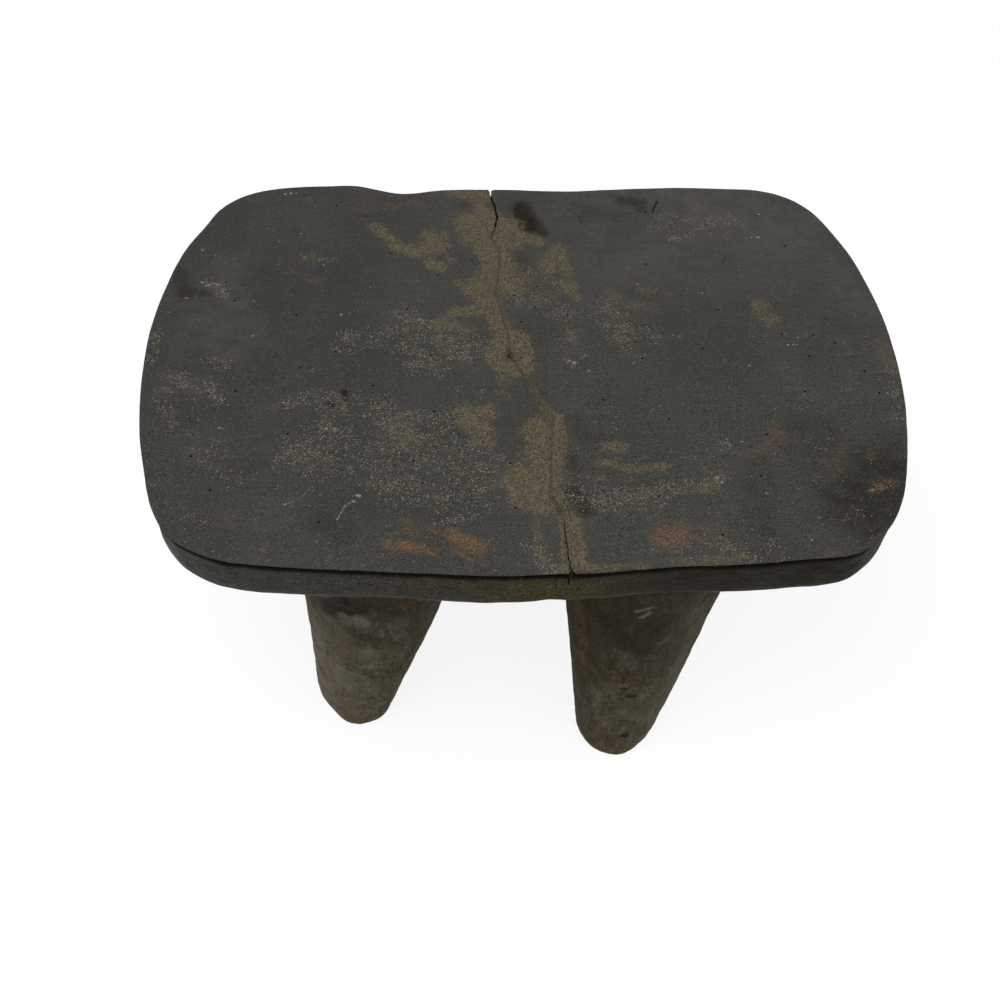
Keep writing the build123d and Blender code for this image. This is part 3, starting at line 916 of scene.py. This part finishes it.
def seat_wood():
    g = Graph("seat_wood")
    grain = g.noise((36, 1.4, 1.4), 4, 0.6, twist=0.3)
    tooth = g.noise((0.66, 0.62, 0.70), 0.5, 0.6)
    cloud = g.noise(40, 5, 0.6, (5, 0, 0))
    ragged = g.noise(7, 6, 0.72, (0, 0, 3))
    crumbs = g.noise((0.95, 0.90, 0.95), 0.5, 0.65, (6, 2, 0))
    lumps = g.noise(2.6, 3, 0.6, (1, 2, 6))
    coarse = g.field("coarse")

    # blackened wood: low clouds, a faint fibre along the length and a fine tooth
    left = g.mix(g.step(cloud, 0.34, 0.66), (0.0465, 0.0458, 0.0440), (0.0610, 0.0590, 0.0535))
    right = g.mix(g.step(cloud, 0.34, 0.66), (0.0535, 0.0530, 0.0485), (0.0690, 0.0675, 0.0590))
    wood = g.mix(g.field("olive"), left, right)
    wood = g.mix(g.step(grain, 0.40, 0.62, 0.0, 0.30), wood, (0.037, 0.037, 0.035))
    wood = g.mix(g.times(g.step(tooth, 0.48, 0.70), g.fade(coarse, 0.37, 0.57)), wood, (0.016, 0.016, 0.014))
    wood = g.mix(g.times(g.step(tooth, 0.52, 0.30), g.fade(coarse, 0.21, 0.34)), wood, (0.130, 0.124, 0.102))
    drift = g.plus(g.noise((13, 9, 9), 5, 0.74, (0, 7, 0)), g.times(g.field("speckle"), 0.27))
    drift = g.step(drift, 0.54, 0.88)
    pits = g.grains((1.1, 0.9, 1.1), (3, 3, 0), g.plus(g.fade(coarse, 0.02, 0.08), g.times(drift, 0.5)), 0.26)
    wood = g.mix(g.times(pits, 0.75), wood, (0.008, 0.008, 0.007))

    # rubbed grey places
    pale = g.times(g.field("pale"), g.step(g.noise((12, 8, 8), 5, 0.65, (2, 0, 0)), 0.30, 0.62))
    wood = g.mix(g.times(pale, 0.55), wood, (0.098, 0.092, 0.087))

    # dark places: soaked wood, and a painted soft shadow just right of the split
    dark = g.frayed("dark", ragged, 1.6)
    wood = g.mix(g.step(dark, 0.0, 1.05, 0.0, 0.95), wood, (0.013, 0.010, 0.007))

    # fine pale speckle, gathered in drifts; the slanting ticks are small raised ridges with a painted
    # highlight
    share = g.plus(g.times(drift, 0.75), g.fade(coarse, 0.006, 0.028))
    ticks = g.grains((1.5, 0.62, 1.0), (1, 4, 0), share, 0.27, turn=-35)
    cross_ticks = g.grains((1.2, 0.62, 1.0), (9, 4, 0), g.times(share, 0.6), 0.27, turn=20)
    speckle = g.times(g.math("MAXIMUM", ticks, cross_ticks), g.field("top"))
    wood = g.mix(g.times(speckle, 0.9), wood, (0.410, 0.360, 0.240))
    powder = g.times(g.grains((0.8, 0.7, 0.8), (7, 2, 0), g.times(share, 1.1)), g.field("top"))
    wood = g.mix(g.times(powder, 0.6), wood, (0.210, 0.180, 0.115))

    # olive-brown dust and filler rubbed over the wood, breaking up into grains at its edges
    dust_edge = g.plus(g.field("dirt"), g.plus(g.swing(ragged, 1.5), g.swing(lumps, 0.9)))
    fringe = g.grains((1.1, 0.95, 1.0), (4, 8, 0), g.step(dust_edge, -0.05, 0.7, 0.0, 0.8), 0.34)
    solid = g.step(g.plus(dust_edge, g.swing(crumbs, 0.9)), 0.24, 0.88)
    dirt = g.math("MAXIMUM", solid, g.times(fringe, 0.8))
    dirt = g.times(dirt, g.step(g.field("dirt"), 0.0, 0.15))
    hatch = g.noise((9, 0.9, 1), 2, 0.5, (2, 2, 0), 0.2, turn=-62)
    dirt = g.times(dirt, g.step(hatch, 0.36, 0.50, 0.65, 1.0))
    dust = g.mix(g.step(crumbs, 0.36, 0.64), (0.084, 0.069, 0.042), (0.160, 0.133, 0.086))
    dust = g.mix(g.step(cloud, 0.42, 0.60, 0.0, 0.30), dust, (0.112, 0.096, 0.054))
    dust = g.mix(g.times(g.grains((1.3, 1.0, 1.1), (5, 5, 0), 0.36), 0.9), dust, (0.018, 0.014, 0.008))
    dust = g.mix(g.times(g.grains((1.2, 1.0, 1.0), (8, 6, 0), 0.30), 0.8), dust, (0.285, 0.245, 0.165))
    wood = g.mix(g.times(dirt, 0.92), wood, dust)

    # orange-brown wood where the black surface has worn off, rubbed out in slanting strokes
    rubbing = g.noise((12, 1.9, 1), 4, 0.68, (3, 1, 0), 0.3, turn=24)
    worn_edge = g.plus(g.field("orange"), g.plus(g.swing(rubbing, 2.1), g.swing(crumbs, 0.5)))
    worn = g.times(g.step(worn_edge, 0.0, 1.45), g.step(g.field("orange"), 0.0, 0.35))
    bare = g.mix(g.step(crumbs, 0.36, 0.64), (0.098, 0.060, 0.034), (0.212, 0.124, 0.064))
    bare = g.mix(g.times(g.grains((1.2, 1.0, 1.0), (2, 9, 0), 0.25), 0.8), bare, (0.020, 0.015, 0.010))
    bare = g.mix(g.times(g.grains((1.2, 0.9, 1.0), (6, 9, 0), 0.20), 0.7), bare, (0.340, 0.230, 0.130))
    wood = g.mix(g.times(worn, 0.85), wood, bare)

    # worn rim of the top
    rim = g.times(g.field("rim"), g.step(g.noise((9, 9, 9), 5, 0.7, (4, 9, 0)), 0.40, 0.62))
    wood = g.mix(g.times(rim, 0.5), wood, (0.066, 0.052, 0.036))

    # side of the slab: smoky, olive to the middle and darker to the right, with fine grain,
    # painted shade in the notch under the arris and rubbed pale along the lower edge
    side = g.math("SUBTRACT", 1.0, g.field("top"))
    fibre = g.noise((8, 8, 1.1), 2, 0.6, (0, 0, 5), 0.2)
    smoke = g.mix(g.field("olive"), (0.065, 0.064, 0.056), (0.061, 0.054, 0.033))
    # darker towards the right end of the slab's side
    smoke = g.mix(g.field("darker_rightwards"), smoke, (0.0175, 0.0135, 0.0056))
    smoke = g.mix(g.step(fibre, 0.52, 0.66, 0.0, 0.40), smoke, (0.072, 0.065, 0.045))
    smoke = g.mix(g.step(fibre, 0.48, 0.34, 0.0, 0.65), smoke, (0.008, 0.0075, 0.005))
    specks = g.times(g.step(tooth, 0.48, 0.66), g.fade(g.field("olive"), 0.5, 0.85))
    smoke = g.mix(specks, smoke, (0.005, 0.005, 0.003))
    smoke = g.mix(g.step(ragged, 0.50, 0.70, 0.0, 0.5), smoke, (0.016, 0.014, 0.010))
    scuffs = g.step(g.noise((9, 9, 3.0), 5, 0.72, (0, 3, 3)), 0.46, 0.66)
    flour = g.grains((1.4, 1.4, 1.2), (2, 2, 6), g.plus(0.08, g.times(scuffs, 0.35)), 0.26)
    smoke = g.mix(g.times(flour, g.fade(g.field("darker_rightwards"), 0.85, 0.2)), smoke, (0.230, 0.215, 0.165))
    side_dust = g.step(g.plus(g.field("dirt"), g.plus(g.swing(ragged, 1.1), g.swing(crumbs, 1.4))), 0.20, 1.0)
    tan = g.mix(g.step(crumbs, 0.34, 0.62), (0.034, 0.027, 0.010), (0.110, 0.092, 0.042))
    smoke = g.mix(g.times(side_dust, 0.75), smoke, tan)
    lower_wear = g.times(g.step(g.plus(g.field("lower"), g.swing(ragged, 1.2)), 0.25, 0.9), scuffs)
    smoke = g.mix(g.times(lower_wear, g.fade(g.field("olive"), 0.85, 0.45)), smoke, (0.175, 0.165, 0.135))
    wood = g.mix(side, wood, smoke)
    # painted shade: near black in the notch under the arris, fading out below it
    notch_painted_shade = g.frayed("recess_shade", lumps, 1.4)
    wood = g.mix(g.step(notch_painted_shade, 0.05, 0.78, 0.0, 0.97), wood, (0.0025, 0.0025, 0.002))

    # single flecks, black checks and beetle holes
    fleck = g.step(g.frayed("fleck", g.noise(0.9, 1, 0.6, (3, 0, 0)), 4.5), 0.28, 0.85)
    wood = g.mix(g.times(fleck, 0.85), wood, (0.34, 0.30, 0.20))
    black = g.math("MAXIMUM", g.step(g.field("groove"), 0.1, 0.8), g.step(g.field("hole"), 0.3, 0.7))
    wood = g.mix(g.times(black, 0.95), wood, (0.003, 0.003, 0.003))

    rough = g.fade(dirt, g.step(g.noise(11, 4, 0.6, (7, 7, 0)), 0.3, 0.7, 0.50, 0.66), 0.90)
    relief = g.bump(grain, 0.10 * MM, 0.7)
    relief = g.bump(tooth, 0.18 * MM, 0.9, relief)
    relief = g.bump(g.plus(dirt, speckle), 0.10 * MM, 0.6, relief)
    relief = g.bump(g.times(fibre, side), 0.25 * MM, 0.6, relief)
    g.feed(g.shader.inputs["Base Color"], wood)
    g.feed(g.shader.inputs["Roughness"], rough)
    g.feed(g.shader.inputs["Normal"], relief)
    g.shader.inputs["Specular IOR Level"].default_value = 0.06
    return g.material


def leg_wood():
    g = Graph("leg_wood")
    cloud = g.noise((17, 17, 24), 6, 0.68, (3, 1, 0), 0.6)
    blotch = g.noise((8, 8, 11), 6, 0.74, (0, 5, 0), 0.5)
    streak = g.noise((2.2, 2.2, 26), 4, 0.62, (6, 0, 0), 0.4)
    tooth = g.noise((0.9, 0.9, 1.2), 1, 0.65)
    wood = g.mix(g.step(cloud, 0.36, 0.64), (0.070, 0.058, 0.036), (0.140, 0.120, 0.083))
    # painted light: each leg lighter on its outer side, where more light reaches it
    wood = g.mix(g.times(g.field("outer_side_light"), 0.80), wood, (0.270, 0.240, 0.175))
    wood = g.mix(g.step(blotch, 0.50, 0.66, 0.0, 0.75), wood, (0.240, 0.220, 0.175))
    wood = g.mix(g.step(blotch, 0.48, 0.32, 0.0, 0.80), wood, (0.034, 0.029, 0.018))
    wood = g.mix(g.step(streak, 0.54, 0.70, 0.0, 0.65), wood, (0.028, 0.023, 0.014))
    wood = g.mix(g.step(streak, 0.46, 0.30, 0.0, 0.40), wood, (0.190, 0.168, 0.124))
    wood = g.mix(g.step(tooth, 0.52, 0.72, 0.0, 0.45), wood, (0.230, 0.205, 0.152))
    wood = g.mix(g.step(tooth, 0.48, 0.28, 0.0, 0.60), wood, (0.018, 0.015, 0.009))
    earth = g.step(g.noise(19, 4, 0.6, (0, 0, 9)), 0.50, 0.68, 0.0, 0.35)
    wood = g.mix(earth, wood, (0.108, 0.077, 0.040))

    # painted shade under the seat, darkest near it, added to each leg's own darker tone
    wood = g.mix(g.math("MINIMUM", g.times(g.field("seat_shade_and_tone"), 0.58), 0.68), wood, (0.0240, 0.0195, 0.0100))

    dark = g.step(g.frayed("dark", blotch, 2.5), 0.15, 1.0)
    wood = g.mix(g.times(dark, 0.85), wood, (0.012, 0.011, 0.008))
    pale = g.step(g.frayed("pale", blotch, 4.0), 0.15, 1.1)
    wood = g.mix(g.times(pale, 0.60), wood, (0.200, 0.188, 0.162))
    rust_edge = g.frayed("rust", blotch, 3.5)
    rim_edge = g.plus(g.field("rim"), g.swing(blotch, 1.6))
    worn = g.math("MAXIMUM", g.step(rim_edge, 0.65, 1.25), g.step(rust_edge, 0.15, 1.1))
    bare = g.mix(g.step(tooth, 0.35, 0.65), (0.070, 0.046, 0.024), (0.185, 0.124, 0.070))
    wood = g.mix(g.times(worn, 0.65), wood, bare)
    g.feed(g.shader.inputs["Base Color"], wood)
    g.feed(g.shader.inputs["Roughness"], g.step(blotch, 0.3, 0.7, 0.70, 0.86))
    relief = g.bump(cloud, 0.7 * MM, 0.5)
    relief = g.bump(streak, 0.25 * MM, 0.6, relief)
    relief = g.bump(tooth, 0.18 * MM, 0.8, relief)
    g.feed(g.shader.inputs["Normal"], relief)
    g.shader.inputs["Specular IOR Level"].default_value = 0.05
    return g.material


def filler_dust():
    g = Graph("filler")
    crumbs = g.noise(1.0, 4, 0.7)
    dust = g.mix(g.step(crumbs, 0.35, 0.65), (0.060, 0.049, 0.030), (0.118, 0.098, 0.060))
    g.feed(g.shader.inputs["Base Color"], dust)
    g.feed(g.shader.inputs["Roughness"], g.step(crumbs, 0.3, 0.7, 0.85, 0.95))
    g.feed(g.shader.inputs["Normal"], g.bump(crumbs, 0.3 * MM, 0.8))
    g.shader.inputs["Specular IOR Level"].default_value = 0.1
    return g.material


# ---------------------------------------------------------------- studio
def seen_directly(tree):
    """1 for what the camera sees, also in a reflection or through glass; 0 for light that falls."""
    path = tree.nodes.new("ShaderNodeLightPath")
    seen = path.outputs["Is Camera Ray"]
    for other in ("Is Glossy Ray", "Is Transmission Ray"):
        most = tree.nodes.new("ShaderNodeMath")
        most.operation = "MAXIMUM"
        tree.links.new(seen, most.inputs[0])
        tree.links.new(path.outputs[other], most.inputs[1])
        seen = most.outputs[0]
    return seen


FLOOR_HALF = 3.0             # m
FLOOR_GREY = 0.62
FLOOR_GLOW, GLOW_SHARE = 1.24, 0.70
SKY_STRENGTH = 0.42


def floor():
    """White floor that keeps a faint shadow; only a part of its white is light thrown back."""
    mesh = bpy.data.meshes.new("floor")
    corners = [(x * FLOOR_HALF, y * FLOOR_HALF, 0) for x, y in ((-1, -1), (1, -1), (1, 1), (-1, 1))]
    mesh.from_pydata(corners, [], [(0, 1, 2, 3)])
    piece = bpy.data.objects.new("floor", mesh)
    bpy.context.collection.objects.link(piece)
    material = bpy.data.materials.new("floor_white")
    material.use_nodes = True
    tree = material.node_tree
    tree.nodes.clear()
    paper = tree.nodes.new("ShaderNodeBsdfDiffuse")
    paper.inputs["Color"].default_value = (FLOOR_GREY, FLOOR_GREY, FLOOR_GREY, 1)
    glow = tree.nodes.new("ShaderNodeEmission")
    glow.inputs["Color"].default_value = (1, 1, 1, 1)
    glow.inputs["Strength"].default_value = FLOOR_GLOW
    white_share = tree.nodes.new("ShaderNodeMath")
    white_share.operation = "MULTIPLY"
    tree.links.new(seen_directly(tree), white_share.inputs[0])
    white_share.inputs[1].default_value = GLOW_SHARE
    blend = tree.nodes.new("ShaderNodeMixShader")
    surface = tree.nodes.new("ShaderNodeOutputMaterial")
    tree.links.new(white_share.outputs[0], blend.inputs[0])
    tree.links.new(paper.outputs[0], blend.inputs[1])
    tree.links.new(glow.outputs[0], blend.inputs[2])
    tree.links.new(blend.outputs[0], surface.inputs["Surface"])
    mesh.materials.append(material)


def sky():
    """Soft light from all round, and plain white where the camera sees it."""
    world = bpy.data.worlds.new("studio")
    bpy.context.scene.world = world
    world.use_nodes = True
    tree = world.node_tree
    strength = tree.nodes.new("ShaderNodeMapRange")
    strength.inputs["To Min"].default_value = SKY_STRENGTH
    strength.inputs["To Max"].default_value = 1.0
    tree.links.new(seen_directly(tree), strength.inputs["Value"])
    background = tree.nodes["Background"]
    background.inputs["Color"].default_value = (1, 1, 1, 1)
    tree.links.new(strength.outputs["Result"], background.inputs["Strength"])


def area_light(name, place, size, watts):
    light = bpy.data.lights.new(name, "AREA")
    light.shape = "DISK"
    light.size = size
    light.energy = watts
    lamp = bpy.data.objects.new(name, light)
    lamp.location = place
    lamp.rotation_euler = (Vector((0, 0, TOP_MIDDLE)) - Vector(place)).to_track_quat("-Z", "Y").to_euler()
    bpy.context.collection.objects.link(lamp)


def studio():
    floor()
    sky()
    area_light("key", (-0.55, -0.35, 1.75), 1.3, 13)
    area_light("fill", (0.9, -0.5, 1.3), 1.2, 3)


def camera():
    """Camera where the headrest is seen from: high in front, a little to the left of its middle,
    looking past the seat to the feet and turned slightly."""
    azimuth, elevation, distance = math.radians(-4.55), math.radians(47.14), 0.58
    pan, tilt, roll = math.radians(0.76), math.radians(-7.4), math.radians(-3.08)
    target = Vector((0, 0, TOP_MIDDLE))
    back = Vector((math.sin(azimuth) * math.cos(elevation), -math.cos(azimuth) * math.cos(elevation),
                   math.sin(elevation)))
    forward = -back
    right = forward.cross(Vector((0, 0, 1))).normalized()
    up = right.cross(forward)
    pan_turn = Matrix.Rotation(pan, 3, up)
    forward, right = pan_turn @ forward, pan_turn @ right
    tilt_turn = Matrix.Rotation(tilt, 3, right)
    forward, up = tilt_turn @ forward, tilt_turn @ up
    roll_turn = Matrix.Rotation(roll, 3, forward)
    right, up = roll_turn @ right, roll_turn @ up
    data = bpy.data.cameras.new("camera")
    data.sensor_width = 36
    data.lens = 40.32
    data.clip_start = 0.01
    eye = bpy.data.objects.new("camera", data)
    turned = Matrix((right, up, -forward)).transposed().to_4x4()
    eye.matrix_world = Matrix.Translation(target + back * distance) @ turned
    bpy.context.collection.objects.link(eye)
    bpy.context.scene.camera = eye


def build():
    outline, normals = seat_outline()
    line = crack_line()
    seat = seat_wood()
    for name, side in (("seat_left", -1), ("seat_right", 1)):
        seat_half(name, side, outline, normals, line).data.materials.append(seat)
    filler(line).data.materials.append(filler_dust())
    legs = leg_wood()
    for seed, name in enumerate(("leg_front_left", "leg_front_right", "leg_rear_left", "leg_rear_right")):
        leg(name, 60 + 13 * seed).data.materials.append(legs)
    studio()
    camera()
    bpy.context.scene.view_settings.view_transform = "Standard"


build()
